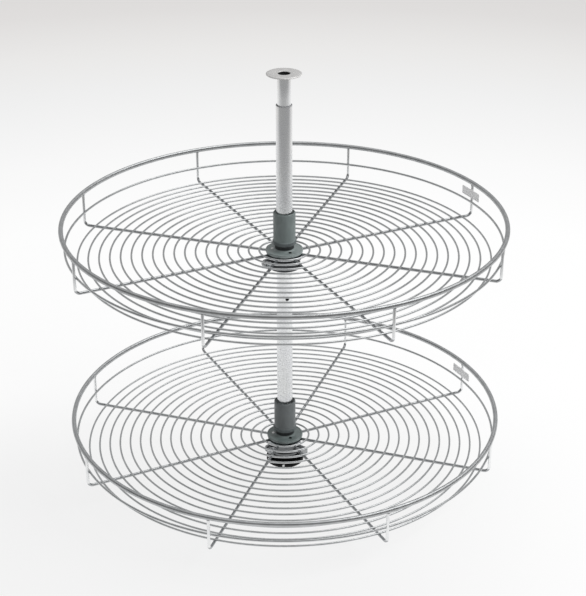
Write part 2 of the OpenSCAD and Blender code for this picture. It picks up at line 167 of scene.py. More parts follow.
def chromedFlange():
    # Stamped disc, blasted before it was chromed: pale and soft, with rings of fine tool marks round the hole
    material, place = startMaterial("satin chrome on turned disc", {"Metallic": 0.45})
    ringed = {"noise_dimensions": "1D", "Scale": perMetre(0.9), "Detail": 3.0}
    marks = addNode(material.node_tree, "TexNoise", ringed, {"W": fromAxis(place)}).outputs["Fac"]
    return finishSurface(material, grain(place, 12), ("#D3D2D1", "#DDDCDB"), marks, (0.36, 0.48), marks, 0.03, 0.35)


def castCollar(name, colours):
    # Die-cast zinc, tumbled and nickel plated: satin, with the soft dimples of the casting skin
    material, place = startMaterial(name, {"Metallic": 1.0})
    skin = grain(place, 1.4, detail=3)
    return finishSurface(material, grain(place, 9), colours, skin, (0.28, 0.42), skin, 0.04, 0.3)


def zincedSteel(name, colours, metallic=1.0):
    # Bright zinc plating: slightly blue, a little uneven from barrel to barrel
    material, place = startMaterial(name, {"Metallic": metallic})
    cloud = grain(place, 4, detail=4)
    return finishSurface(material, cloud, colours, cloud, (0.2, 0.34), grain(place, 0.8, detail=2), 0.03, 0.4)


def mouldedPlastic(name, colours, roughness, grainSize, depth, ior=1.53, shine=0.5):
    # Injection-moulded part from a spark-eroded mould: fine even grain, soft highlight, slight flow marks
    material, place = startMaterial(name, {"Metallic": 0.0, "IOR": ior, "Specular IOR Level": shine})
    flow = grain(place, 14, stretch=(1, 1, 0.5), detail=3, distortion=0.6)
    spark = grain(place, grainSize, detail=2)
    return finishSurface(material, flow, colours, spark, roughness, spark, depth, 0.6)


def brushedPlate():
    # Bare aluminium plate, brushed lengthwise and anodised matt: pale and soft, with lines along it
    material, place = startMaterial("matt anodised aluminium", {"Metallic": 0.05})
    alongPlate = {"rotation_type": "Z_AXIS", "Angle": -math.radians(firstUpright)}
    turned = addNode(material.node_tree, "VectorRotate", alongPlate, {"Vector": place})
    lines = grain(turned.outputs["Vector"], 8, stretch=(1, 0.6, 14), detail=4)
    return finishSurface(material, lines, ("#F4F4F5", "#FAFAFA"), lines, (0.42, 0.54), lines, 0.02, 0.3)


def boreScaleAndShade():
    # Inside of a tube where no plating reaches: grey-black mill scale, darkened further to near black as painted
    # shade in the bore
    material, place = startMaterial("mill scale in the bore, darkened as painted shade", {"Metallic": 0.0, "IOR": 1.6})
    scale = grain(place, 3, stretch=(1, 1, 0.3), detail=5)
    return finishSurface(material, scale, ("#141516", "#232425"), scale, (0.6, 0.85))


greyMould = ((0.34, 0.46), 0.8, 0.03)    # roughness, grain in mm and its depth in mm
finishes = {
    "wire_chrome": chromedWire("bright chrome on drawn wire", ("#ABADAF", "#B7B9BA")),
    "tube_chrome": chromedTube(),
    "flange_chrome": chromedFlange(),
    "collar_chrome": castCollar("bright nickel on cast zinc", ("#A0A2A4", "#AEB0B1")),
    "hub_steel": zincedSteel("zinc plated sheet", ("#A9AEB2", "#BEC3C6")),
    "bright_screw": zincedSteel("zinc plated screw", ("#EBECED", "#F4F5F5")),
    "hub_grey": mouldedPlastic("moulded grey nylon", ("#606A69", "#6C7675"), *greyMould, 1.7),
    "guide_black": mouldedPlastic("moulded black acetal", ("#232526", "#2C2E2F"), (0.32, 0.44), 0.8, 0.02),
    "foot_black": mouldedPlastic("moulded black nylon", ("#08090A", "#0E0F10"), (0.5, 0.64), 1.0, 0.05, 1.5, 0.12),
    "plate_grey": brushedPlate(),
}
# further tones of the same finishes, as the photograph shows them
weldFinish = weldedChrome()
boreShadeFinish = boreScaleAndShade()
rimFinish = chromedWire("satin chrome on rim wire", ("#BCBEBF", "#C8CACB"), (0.34, 0.46))
thinWireFinish = chromedWire("bright chrome on thin wire", ("#C8CACB", "#D4D6D7"))
# the uprights are the same wire as the spokes, painted paler where they stand upright: painted light
uprightLitFinish = chromedWire("chrome on the outer uprights, painted paler as light", ("#F1F2F3", "#F7F8F8"))
# the lower sleeve is the same grey nylon, painted darker as shade
lowSleeveShadeFinish = mouldedPlastic("moulded grey nylon, painted shade on the lower sleeve", ("#575C5D", "#626768"), *greyMould, 1.65)
# the upper flange is the same grey nylon, painted paler as light
upperFlangeLitFinish = mouldedPlastic("moulded grey nylon, painted light on the upper flange", ("#7A8483", "#868F8E"), *greyMould, 1.7)
# the skirt of the same moulded sleeve is painted darker than the sleeve above it
skirtFinish = mouldedPlastic("moulded grey nylon, darker at the skirt", ("#4A5152", "#565D5E"), (0.4, 0.52), 0.8, 0.03, 1.6)
bushFinish = mouldedPlastic("moulded grey acetal", ("#8A8B8D", "#97989A"), (0.3, 0.42), 0.8, 0.02)
clampScrewFinish = zincedSteel("dull zinc plated screw", ("#8E9294", "#A2A6A8"))
# near-white screw finish: a painted highlight on one hub screw and on the foot's set screw
highlightScrewFinish = zincedSteel("zinc plated screw, painted highlight", ("#F4F5F5", "#FAFAFA"), 0.2)
darkScrewFinish = zincedSteel("blackened screw", ("#2A2C2D", "#353738"))
# both collar bodies are painted darker as shade under the hub flanges, the upper one more; their ears keep the bright
# nickel
lowCollarShadeFinish = castCollar("dull nickel on cast zinc", ("#6A6C6E", "#7A7C7D"))
upperCollarShadeFinish = castCollar("darker dull nickel on cast zinc", ("#434547", "#505254"))

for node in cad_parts.values():
    for slot in node.material_slots:
        slot.material = finishes[slot.material.name]
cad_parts["guide_bush"].material_slots[0].material = bushFinish
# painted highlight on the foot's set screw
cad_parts["foot_set_screw"].material_slots[0].material = highlightScrewFinish
for tier in ("lower", "upper"):
    for part in ("clamp_screw", "clamp_nut"):
        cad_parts[tier + "_" + part].material_slots[0].material = clampScrewFinish
print("materials made:", len(bpy.data.materials))

# degrees under which an edge is shaded smooth
smoothing = {"usual": 35, "disc": 30, "spoke": 50, "wire": 60, "bead": 80}


# Modelling steps that several pieces share
def metres(*lengths):  # from mm
    return tuple(length * mm for length in lengths)


def stopEditing():
    bpy.ops.object.mode_set(mode="OBJECT")


def pickAll():
    bpy.ops.mesh.select_all(action="SELECT")


def clearSelection():
    if bpy.context.mode != "OBJECT":
        stopEditing()
    bpy.ops.object.select_all(action="DESELECT")


def selectOnly(piece):
    clearSelection()
    piece.select_set(True)
    bpy.context.view_layer.objects.active = piece


facingSide = (math.pi / 2, 0, 0)    # turns a circle into the section of a wire that is spun round the post


def circleAt(radius, sides, place, rotation=facingSide, **more):  # radius and place in mm
    bpy.ops.mesh.primitive_circle_add(vertices=sides, radius=radius * mm, location=metres(*place),
                                      rotation=rotation, **more)


def editPiece(name):
    # the primitive just added gets its name, its place goes into its mesh, and it opens for editing
    piece = bpy.context.active_object
    piece.name = piece.data.name = name
    bpy.ops.object.transform_apply(location=True, rotation=True, scale=True)
    bpy.ops.object.mode_set(mode="EDIT")
    bpy.ops.mesh.select_mode(type="VERT")
    pickAll()
    return piece


def pickPoints(test):
    mesh = bmesh.from_edit_mesh(bpy.context.active_object.data)
    for point in mesh.verts:
        point.select_set(test(point.co))
    mesh.select_flush(True)
    mesh.select_flush(False)
    bmesh.update_edit_mesh(bpy.context.active_object.data)


def pickFaces(test):
    bpy.ops.mesh.select_mode(type="FACE")
    mesh = bmesh.from_edit_mesh(bpy.context.active_object.data)
    for face in mesh.faces:
        face.select_set(test(face.calc_center_median()))
    bmesh.update_edit_mesh(bpy.context.active_object.data)


def extrudeBy(*step):  # mm
    bpy.ops.mesh.extrude_region_move(TRANSFORM_OT_translate={"value": metres(*step)})


def mergeDoubles():
    pickAll()
    bpy.ops.mesh.remove_doubles(threshold=0.002 * mm)


def faceOutwards():
    pickAll()
    bpy.ops.mesh.normals_make_consistent(inside=False)


def spinRound(steps, centre=(0, 0)):
    # a whole turn about an upright axis, whose first and last step lie on each other
    bpy.ops.mesh.spin(steps=steps, angle=fullTurn, center=(centre[0] * mm, centre[1] * mm, 0), axis=(0, 0, 1))
    mergeDoubles()
    faceOutwards()


def finishPiece(piece, finish, body, replaced=(), smoothAngle=smoothing["usual"]):
    selectOnly(piece)
    bpy.ops.object.shade_smooth_by_angle(angle=math.radians(smoothAngle))
    if finish and not piece.data.materials:
        piece.data.materials.append(finish)
    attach(piece, body)
    if replaced:
        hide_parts(*replaced)


def copyPiece(piece, name, turn=0.0, lift=0.0):
    twin = piece.copy()
    twin.data = piece.data.copy()
    twin.name = twin.data.name = name
    bpy.context.scene.collection.objects.link(twin)
    twin.matrix_world.identity()
    selectOnly(twin)
    twin.rotation_euler[2] = turn
    twin.location[2] = lift
    bpy.ops.object.transform_apply(location=True, rotation=True, scale=True)
    return twin


def turnedRound(piece, degrees):  # made along +X, then turned to its place
    turned = copyPiece(piece, piece.name + "Turned", math.radians(degrees))
    bpy.data.objects.remove(piece)
    return turned


def copiedRound(piece, name, turns):  # radians
    copies = [copyPiece(piece, name + "Copy", turn) for turn in turns]
    bpy.data.objects.remove(piece)
    return copies


def joinPieces(pieces, name):
    clearSelection()
    for piece in pieces:
        piece.select_set(True)
    bpy.context.view_layer.objects.active = pieces[0]
    if len(pieces) > 1:
        bpy.ops.object.join()
    pieces[0].name = pieces[0].data.name = name
    return pieces[0]


def applyModifier(piece, kind, settings):
    selectOnly(piece)
    bpy.ops.object.modifier_add(type=kind)
    modifier = piece.modifiers[-1]
    for key, value in settings.items():
        setattr(modifier, key, value)
    bpy.ops.object.modifier_apply(modifier=modifier.name)


def softenEdges(piece, width, segments=3, angle=50):
    # edges sharper than this angle get a rounding of this width in mm
    applyModifier(piece, "BEVEL", {"width": width * mm, "segments": segments, "limit_method": "ANGLE",
                                   "angle_limit": math.radians(angle), "harden_normals": False})


def cutWith(piece, cutter):
    applyModifier(piece, "BOOLEAN", {"operation": "DIFFERENCE", "solver": "EXACT", "object": cutter})
    bpy.data.objects.remove(cutter)


def turnedPiece(name, section, steps, axis=(0, 0)):
    # a point is drawn along the section as by hand, mm from the axis and mm high, then spun once round
    clearSelection()
    x, z = section[0]
    bpy.ops.mesh.primitive_plane_add(size=1 * mm, location=((axis[0] + x) * mm, axis[1] * mm, z * mm))
    piece = editPiece(name)
    bpy.ops.mesh.merge(type="CENTER")
    for nextX, nextZ in section[1:]:
        extrudeBy(nextX - x, 0, nextZ - z)
        x, z = nextX, nextZ
    pickAll()
    spinRound(steps, axis)
    stopEditing()
    return piece


def drillAt(diameter, start, end, turn=None, height=0.0, radius=0.0, sides=28):
    # a drill to cut with: along a radius at this height and turn, or down at this radius and turn
    clearSelection()
    middle, length = (start + end) / 2, end - start
    if radius:
        place, lean = (math.cos(turn) * radius, math.sin(turn) * radius, middle), (0, 0, 0)
    else:
        place, lean = (math.cos(turn) * middle, math.sin(turn) * middle, height), (0, math.pi / 2, turn)
    bpy.ops.mesh.primitive_cylinder_add(vertices=sides, radius=diameter / 2 * mm, depth=length * mm,
                                        location=metres(*place), rotation=lean)
    bpy.ops.object.transform_apply(location=True, rotation=True, scale=True)
    return bpy.context.active_object


def blockAt(size, middle, turn=0.0):
    # a block to cut or build with, its middle given before it is turned round the post
    clearSelection()
    bpy.ops.mesh.primitive_cube_add(size=1)
    block = bpy.context.active_object
    block.scale = metres(*size)
    block.location = (math.cos(turn) * middle[0] * mm - math.sin(turn) * middle[1] * mm,
                      math.sin(turn) * middle[0] * mm + math.cos(turn) * middle[1] * mm, middle[2] * mm)
    block.rotation_euler[2] = turn
    bpy.ops.object.transform_apply(location=True, rotation=True, scale=True)
    return block


def paintWhere(piece, finish, test):
    # faces whose middle passes the test get a further finish
    piece.data.materials.append(finish)
    selectOnly(piece)
    bpy.ops.object.mode_set(mode="EDIT")
    pickFaces(test)
    piece.active_material_index = len(piece.data.materials) - 1
    bpy.ops.object.material_slot_assign()
    stopEditing()


def spanOf(node):  # lowest and highest corner of a CAD node in mm
    low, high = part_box(node)
    return [v / mm for v in low], [v / mm for v in high]


tierBody = {"lower": "lower_basket", "upper": "upper_basket"}
tierLift = (spanOf("upper_rim_ring")[0][2] - spanOf("lower_rim_ring")[0][2]) * mm
collarLow = spanOf("lower_clamp_collar")[0][2]    # underside of the lower collar, mm
collarLift = spanOf("upper_clamp_collar")[0][2] - collarLow


def dressBothTiers(piece, name, finish, parts, smoothAngle=smoothing["usual"]):
    # the lower tier's piece is finished and its copy is lifted to the upper tier
    twin = copyPiece(piece, "upper" + name, lift=tierLift)
    piece.name = piece.data.name = "lower" + name
    finishPiece(piece, finish, tierBody["lower"], ["lower_" + p for p in parts], smoothAngle)
    finishPiece(twin, finish, tierBody["upper"], ["upper_" + p for p in parts], smoothAngle)


# Wire rings: a wire's section spun round the post, closed with a butt weld
ringWires = {
    # wire in mm, its sides, steps round the ring, and where the ring is closed, degrees from +X
    "rim": (8.0, 20, 240, 97),
    "middle": (4.0, 14, 192, 187),
    "floor": (3.5, 12, 144, 90),
    "floorRings": 18,
    "firstRing": 42.5,    # radius of the innermost floor ring
    "seamHalf": 1.5,    # half length of the butt weld
    "seamRise": 0.3,    # how far it stands out
    "seamRows": (-1, -0.5, 0, 0.5, 1),    # cuts across it, in shares of its half length
    "seamSwells": ((0.6, 0.45), (0.1, 0.55)),    # rows within this share rise by this share
    "seamReach": 12.0,    # how far to each side the wire is cut
}
rimWire, middleWire, floorWire = (ringWires[ring][0] for ring in ("rim", "middle", "floor"))


def wireRings(ring, radii, height):
    wire, sides, steps, seamTurn = ringWires[ring]
    clearSelection()
    circleAt(wire / 2, sides, (radii[0], 0, height))
    piece = editPiece(ring)
    for radius in radii[1:]:
        circleAt(wire / 2, sides, (radius, 0, height))
    pickAll()
    spinRound(steps)
    turn = math.radians(seamTurn)
    out = (math.cos(turn), math.sin(turn))
    along = (-out[1], out[0])
    half, rise = metres(ringWires["seamHalf"], ringWires["seamRise"])

    def atSeam(co, reach):
        return co.x * out[0] + co.y * out[1] > 0 and abs(co.x * along[0] + co.y * along[1]) < reach

    for row in ringWires["seamRows"]:
        pickFaces(lambda co: atSeam(co, ringWires["seamReach"] * mm))
        bpy.ops.mesh.bisect(plane_co=(along[0] * half * row, along[1] * half * row, 0),
                            plane_no=(along[0], along[1], 0))
    bpy.ops.mesh.select_mode(type="VERT")
    for within, share in ringWires["seamSwells"]:
        pickPoints(lambda co: atSeam(co, half * within))
        bpy.ops.transform.shrink_fatten(value=rise * share)
    stopEditing()
    return piece


def ringPlace(node, wire):  # radius of the wire's centre, and its height
    low, high = spanOf(node)
    return high[0] - wire / 2, (low[2] + high[2]) / 2


rimRadius, rimHeight = ringPlace("lower_rim_ring", rimWire)
middleRadius, middleHeight = ringPlace("lower_mid_ring", middleWire)
lastRing, floorHeight = ringPlace("lower_floor_rings", floorWire)
ringStep = (lastRing - ringWires["firstRing"]) / (ringWires["floorRings"] - 1)
floorRadii = [ringWires["firstRing"] + i * ringStep for i in range(ringWires["floorRings"])]

for ring, name, finish, node, radii, height in (
        ("rim", "RimWire", rimFinish, "rim_ring", [rimRadius], rimHeight),
        ("middle", "MiddleWire", thinWireFinish, "mid_ring", [middleRadius], middleHeight),
        ("floor", "FloorWires", thinWireFinish, "floor_rings", floorRadii, floorHeight)):
    dressBothTiers(wireRings(ring, radii, height), name, finish, [node], smoothing["wire"])
print("rings spun:", 2 * (len(floorRadii) + 2))

# Spokes: one bent wire, copied round
spokeWires = {
    "wire": 5.0,
    "sides": 16,
    "count": 8,
    "innerEnd": 24.5,
    "bend": 9.0,    # bend radius at the wire's centre
    "bendSteps": 10,
    "intoRim": 1.2,    # how far an upright's end goes into the rim wire
    "endBreak": 0.3,    # rounding of the sawn ends
    "paleFrom": 0.6,    # share of the bend's height over which an upright is painted paler, as painted light
}
spokeHeight = spanOf("lower_spokes")[0][2] + spokeWires["wire"] / 2
bendStart = rimRadius - spokeWires["bend"]
uprightTop = rimHeight - rimWire / 2 + spokeWires["intoRim"]


def bentSpoke():
    clearSelection()
    circleAt(spokeWires["wire"] / 2, spokeWires["sides"], (spokeWires["innerEnd"], 0, spokeHeight),
             (0, math.pi / 2, 0))
    piece = editPiece("spoke")
    extrudeBy(bendStart - spokeWires["innerEnd"], 0, 0)
    bendEnd = spokeHeight + spokeWires["bend"]
    bpy.ops.mesh.spin(steps=spokeWires["bendSteps"], angle=math.pi / 2, center=metres(bendStart, 0, bendEnd),
                      axis=(0, 1, 0))
    extrudeBy(0, 0, uprightTop - bendEnd)
    mergeDoubles()
    pickAll()
    bpy.ops.mesh.fill_holes(sides=0)
    faceOutwards()
    stopEditing()
    softenEdges(piece, spokeWires["endBreak"], 2, 60)
    piece.data.materials.append(finishes["wire_chrome"])
    paleHeight = (spokeHeight + spokeWires["bend"] * spokeWires["paleFrom"]) * mm
    # painted light: the upright part of the same wire is painted paler than its level run
    paintWhere(piece, uprightLitFinish, lambda co: co.x > bendStart * mm and co.z > paleHeight)
    return piece


spokeTurns = [math.radians(firstUpright) + i * fullTurn / spokeWires["count"] for i in range(spokeWires["count"])]
spokes = joinPieces(copiedRound(bentSpoke(), "spoke", spokeTurns), "spokes")
dressBothTiers(spokes, "SpokeWires", None, ["spokes"], smoothing["spoke"])
print("spokes bent:", 2 * len(spokeTurns))

# Welds: a small bead where wires cross, of a few dozen faces each
weldBeads = {
    "crossing": (1.9, 1.9, 0.9),    # half sizes of the flash between a spoke and a floor ring
    "middle": (0.8, 1.9, 1.5),    # between an upright and the middle ring
    "fuller": (0.3, 1.12),    # under this share of its half height, the flash is wider by this
    "sink": 0.3,    # how deep crossing wires are welded into each other
    "fillet": 0.63,    # half width of the bead round an upright's end
}


def weldBead(halves, radius, height):
    clearSelection()
    bpy.ops.mesh.primitive_uv_sphere_add(segments=10, ring_count=6, radius=1, location=metres(radius, 0, height))
    bpy.context.active_object.scale = metres(*halves)
    piece = editPiece("bead")
    # the flash is fuller low down, where the wires are squeezed together
    share, wider = weldBeads["fuller"]
    pickPoints(lambda co: co.z < (height - halves[2] * share) * mm)
    bpy.ops.transform.resize(value=(wider, wider, 1), center_override=metres(radius, 0, height))
    stopEditing()
    return piece


def rimFillet():
    clearSelection()
    circleAt(weldBeads["fillet"], 6, (rimRadius + spokeWires["wire"] / 2, 0, rimHeight - rimWire / 2))
    piece = editPiece("rimFillet")
    spinRound(12, (rimRadius, 0))
    stopEditing()
    return piece


crossHeight = spokeHeight + spokeWires["wire"] / 2 - weldBeads["sink"] / 2
beads = [weldBead(weldBeads["crossing"], radius, crossHeight) for radius in floorRadii]
beads.append(weldBead(weldBeads["middle"], middleRadius + middleWire / 2, middleHeight))
beads.append(rimFillet())
welds = joinPieces(copiedRound(joinPieces(beads, "beadRow"), "beadRow", spokeTurns), "welds")
dressBothTiers(welds, "WeldBeads", weldFinish, [], smoothing["bead"])
print("welds set:", 2 * len(spokeTurns) * (len(floorRadii) + 2))

# Bare plate on the first upright
barePlate = {
    "length": 54.0, "thick": 1.0, "corner": 2.0, "edge": 0.18,
    # two round spot weld marks over the upright
    "markRadius": 2.2, "markDepth": 0.12, "markTaper": 0.75, "markLifts": (-3.5, 3.5), "markSink": 0.01,
}


def plateOnUpright():
    low, high = spanOf("lower_blank_plate")
    thick = barePlate["thick"]
    faceRadius = rimRadius - spokeWires["wire"] / 2 - thick / 2 + weldBeads["sink"] / 2
    middle = (high[2] + low[2]) / 2
    clearSelection()
    bpy.ops.mesh.primitive_cube_add(size=1, location=metres(faceRadius, 0, middle))
    bpy.context.active_object.scale = metres(thick, barePlate["length"], high[2] - low[2])
    piece = editPiece("plate")
    bpy.ops.mesh.select_mode(type="EDGE")
    mesh = bmesh.from_edit_mesh(piece.data)
    for line in mesh.edges:      # the four short edges through the sheet
        line.select_set(abs(line.verts[0].co.x - line.verts[1].co.x) > thick / 2 * mm)
    bmesh.update_edit_mesh(piece.data)
    bpy.ops.mesh.bevel(offset=barePlate["corner"] * mm, segments=6)
    stopEditing()
    softenEdges(piece, barePlate["edge"], 2)
    pieces = [piece]
    for lift in barePlate["markLifts"]:
        clearSelection()
        circleAt(barePlate["markRadius"], 20, (faceRadius - thick / 2 - barePlate["markSink"], 0, middle + lift),
                 (0, -math.pi / 2, 0), fill_type="NGON")
        pieces.append(editPiece("mark"))
        extrudeBy(-barePlate["markDepth"], 0, 0)
        taper = (1, barePlate["markTaper"], barePlate["markTaper"])
        bpy.ops.transform.resize(value=taper, center_override=metres(faceRadius - thick / 2, 0, middle + lift))
        stopEditing()
    return turnedRound(joinPieces(pieces, "plate"), firstUpright)


dressBothTiers(plateOnUpright(), "BarePlate", finishes["plate_grey"], ["blank_plate"])
print("bare plates on")

# Post: outer tube with its cross holes, inner tube and the disc on top
postTubes = {
    "outerWall": 1.5,
    "innerWall": 1.3,
    "steps": 96,
    "lip": 0.35,    # rounding of the tubes' ends
    "outerRows": (312, 336, 360, 378),    # heights of rows of points, over and under the holes
    "innerRows": (600, 680),
    "crossHoles": ((7.0, 324.0, -69), (3.2, 369.0, -46)),    # diameter, height, degrees from +X
    "slot": (11.0, 2.0, 369.0, -104),    # length, width, height, degrees from +X
}


def tubePiece(name, node, wall, rows):
    low, high = spanOf(node)
    radius = high[0]
    outside = [(radius, low[2])] + [(radius, row) for row in rows] + [(radius, high[2])]
    inside = [(radius - wall, high[2]), (radius - wall, low[2]), (radius, low[2])]
    piece = turnedPiece(name, outside + inside, postTubes["steps"])
    softenEdges(piece, postTubes["lip"])
    piece.data.materials.append(finishes["tube_chrome"])
    # the bore's near-black is partly mill scale and partly painted shade
    paintWhere(piece, boreShadeFinish, lambda co: math.hypot(co.x, co.y) < (radius - wall * 0.8) * mm)
    return piece, radius


outerTube, outerRadius = tubePiece("outerTube", "outer_tube", postTubes["outerWall"], postTubes["outerRows"])
drills = []
for diameter, height, turn in postTubes["crossHoles"]:
    drills.append(drillAt(diameter, outerRadius / 2, outerRadius * 1.5, math.radians(turn), height))
length, width, height, turn = postTubes["slot"]
drills.append(blockAt((outerRadius, length, width), (outerRadius * 1.5, 0, height), math.radians(turn)))
for drill in drills:
    cutWith(outerTube, drill)
finishPiece(outerTube, None, "post", ["outer_tube"])
innerTube, innerRadius = tubePiece("innerTube", "inner_tube", postTubes["innerWall"], postTubes["innerRows"])
finishPiece(innerTube, None, "post_extension", ["inner_tube"])

topDisc = {
    # section from the hole outwards and back, mm from the axis and mm over the disc's underside
    "section": ((11.3, 0), (28.5, 0), (29.0, 0.5), (29.0, 1.75), (28.2, 2.3), (26.5, 2.45), (15.5, 2.5),
                (13.4, 2.3), (11.0, 2.3), (10.25, 1.8), (10.25, 1.0), (11.3, 1.0), (11.3, 0)),
    "steps": 128,
    "rounding": 0.2,
    "weld": (0.9, 0.3, -0.2),    # radius of the bead, and its place out from the tube and over the underside
    "weldSteps": 72,
    "weldSwell": 0.16,
}
discLow = spanOf("top_flange")[0][2]
disc = turnedPiece("topDisc", [(r, discLow + h) for r, h in topDisc["section"]], topDisc["steps"])
softenEdges(disc, topDisc["rounding"], 2)
finishPiece(disc, finishes["flange_chrome"], "post_extension", ["top_flange"], smoothing["disc"])
clearSelection()
bead, out, over = topDisc["weld"]
circleAt(bead, 10, (innerRadius + out, 0, discLow + over))
discWeld = editPiece("discWeld")
spinRound(topDisc["weldSteps"])
# the bead was laid in short steps, so every third row of it is fuller
weldStep = 360 / topDisc["weldSteps"]
pickPoints(lambda co: round(math.degrees(math.atan2(co.y, co.x)) / weldStep) % 3 == 0)
bpy.ops.transform.shrink_fatten(value=topDisc["weldSwell"] * mm)
stopEditing()
finishPiece(discWeld, weldFinish, "post_extension", (), smoothing["bead"])
print("post made")

# Foot: wide rim with counterbored holes, and the socket for the tube
footMould = {
    "rim": 33.0, "rimHeight": 8.0, "socket": 22.0, "height": 21.0, "bore": 13.55, "floor": 2.5,
    "rootFillet": 2.2,    # radius between the rim's top and the socket
    "rounding": 0.7, "steps": 96,
    "holes": 3, "holeCircle": 54.5, "hole": 4.5, "counterbore": 7.6, "web": 4.5,
    "screwHole": 4.1, "screwHeight": 4.9, "screwTurn": -95,
    "past": 1,    # how far a drill runs past what it cuts
}


def filletPoints(radius, height, bend, steps=5):
    # inside corner between a level face and an upright one at this radius
    made = []
    for i in range(steps + 1):
        lean = math.pi / 2 * i / steps
        made.append((radius + bend * (1 - math.sin(lean)), height + bend * (1 - math.cos(lean))))
    return made


def footPiece():
    f = footMould
    section = [(0, 0), (f["rim"], 0), (f["rim"], f["rimHeight"])]
    section += filletPoints(f["socket"], f["rimHeight"], f["rootFillet"])
    section += [(f["socket"], f["height"]), (f["bore"], f["height"]), (f["bore"], f["floor"]), (0, f["floor"])]
    piece = turnedPiece("foot", section, f["steps"])
    softenEdges(piece, f["rounding"], 4)
    for i in range(f["holes"]):
        turn = math.pi / 2 + i * fullTurn / f["holes"]
        for diameter, bottom in ((f["counterbore"], f["web"]), (f["hole"], -f["past"])):
            cutWith(piece, drillAt(diameter, bottom, f["height"] / 2, turn, radius=f["holeCircle"] / 2))
    cutWith(piece, drillAt(f["screwHole"], f["bore"] - f["past"], f["rim"] + f["past"],
                           math.radians(f["screwTurn"]), f["screwHeight"]))
    return piece


finishPiece(footPiece(), finishes["foot_black"], "post", ["base_foot"])
print("foot made")

# Clamp collars: cast ring with a waist, split between two ears; the lower one has a drilled lug
collarCast = {
    "bore": 13.55, "disc": 28.5, "waist": 25.0, "height": 18.0, "discHeight": 4.0, "coneHeight": 5.0,
    "rounding": 0.6, "split": 3.0, "steps": 96,
    "earThick": 5.0, "earHigh": 14.0, "earReach": 40.0, "earRounding": 0.9,
    "rootIn": (1.5, 3),    # an ear starts this far outside the bore, a lug this far inside the waist
    "upperTurn": 204, "lowerTurn": 214,
    "lugWide": 10.0, "lugHigh": 14.0, "lugReach": 49.0, "lugHole": 4.2, "lugTurn": -37,
}


def roundEndedSlab(name, roundRadius, reach, root, thick, middle, upright):
    # a disc whose inner half is drawn back to the root, then given its thickness
    clearSelection()
    centre = reach - roundRadius
    circleAt(roundRadius, 40, (centre, *middle), facingSide if upright else (0, 0, 0), fill_type="NGON")
    piece = editPiece(name)
    pickPoints(lambda co: co.x < (centre - 0.01) * mm)
    bpy.ops.transform.translate(value=metres(root + roundRadius - centre, 0, 0))
    pickAll()
    extrudeBy(*((0, thick, 0) if upright else (0, 0, thick)))
    faceOutwards()
    stopEditing()
    softenEdges(piece, collarCast["earRounding"])
    piece.data.materials.append(finishes["collar_chrome"])
    return piece


def collarPiece():
    c = collarCast
    low, disc, waist, tall = collarLow, c["disc"], c["waist"], c["height"]
    section = [(c["bore"], 0), (disc, 0), (disc, c["discHeight"]), (waist, c["coneHeight"]),
               (waist, tall - c["coneHeight"]), (disc, tall - c["discHeight"]), (disc, tall), (c["bore"], tall),
               (c["bore"], 0)]
    body = turnedPiece("collarBody", [(r, low + h) for r, h in section], c["steps"])
    softenEdges(body, c["rounding"])
    cutWith(body, blockAt((disc * 1.2, c["split"], tall * 2), (disc * 0.6, 0, low + tall / 2)))
    # painted shade: the collar body under the hub flange is darker than its ears
    body.data.materials.append(lowCollarShadeFinish)
    ears = []
    for side in (c["split"] / 2, -c["split"] / 2 - c["earThick"]):
        ears.append(roundEndedSlab("ear", c["earHigh"] / 2, c["earReach"], c["bore"] + c["rootIn"][0], c["earThick"],
                                   (side, low + tall / 2), True))
    return joinPieces([body] + ears, "collar")


def lugPiece():
    c = collarCast
    start = collarLow + (c["height"] - c["lugHigh"]) / 2
    lug = roundEndedSlab("lug", c["lugWide"] / 2, c["lugReach"], c["waist"] - c["rootIn"][1], c["lugHigh"],
                         (0, start), False)
    holeAt = c["lugReach"] - c["lugWide"] / 2
    cutWith(lug, drillAt(c["lugHole"], start - 1, start + c["lugHigh"] + 1, 0, radius=holeAt))
    return lug


collar = collarPiece()
upperCollar = copyPiece(collar, "upperCollar", math.radians(collarCast["upperTurn"]), collarLift * mm)
# painted shade: the upper collar is painted darker still
upperCollar.data.materials[0] = upperCollarShadeFinish
finishPiece(upperCollar, None, "upper_carriage", ["upper_clamp_collar"])
lowerCollar = turnedRound(collar, collarCast["lowerTurn"])
lowerCollar = joinPieces([lowerCollar, turnedRound(lugPiece(), collarCast["lugTurn"])], "lowerCollar")
finishPiece(lowerCollar, None, "post", ["lower_clamp_collar"])
print("collars made")

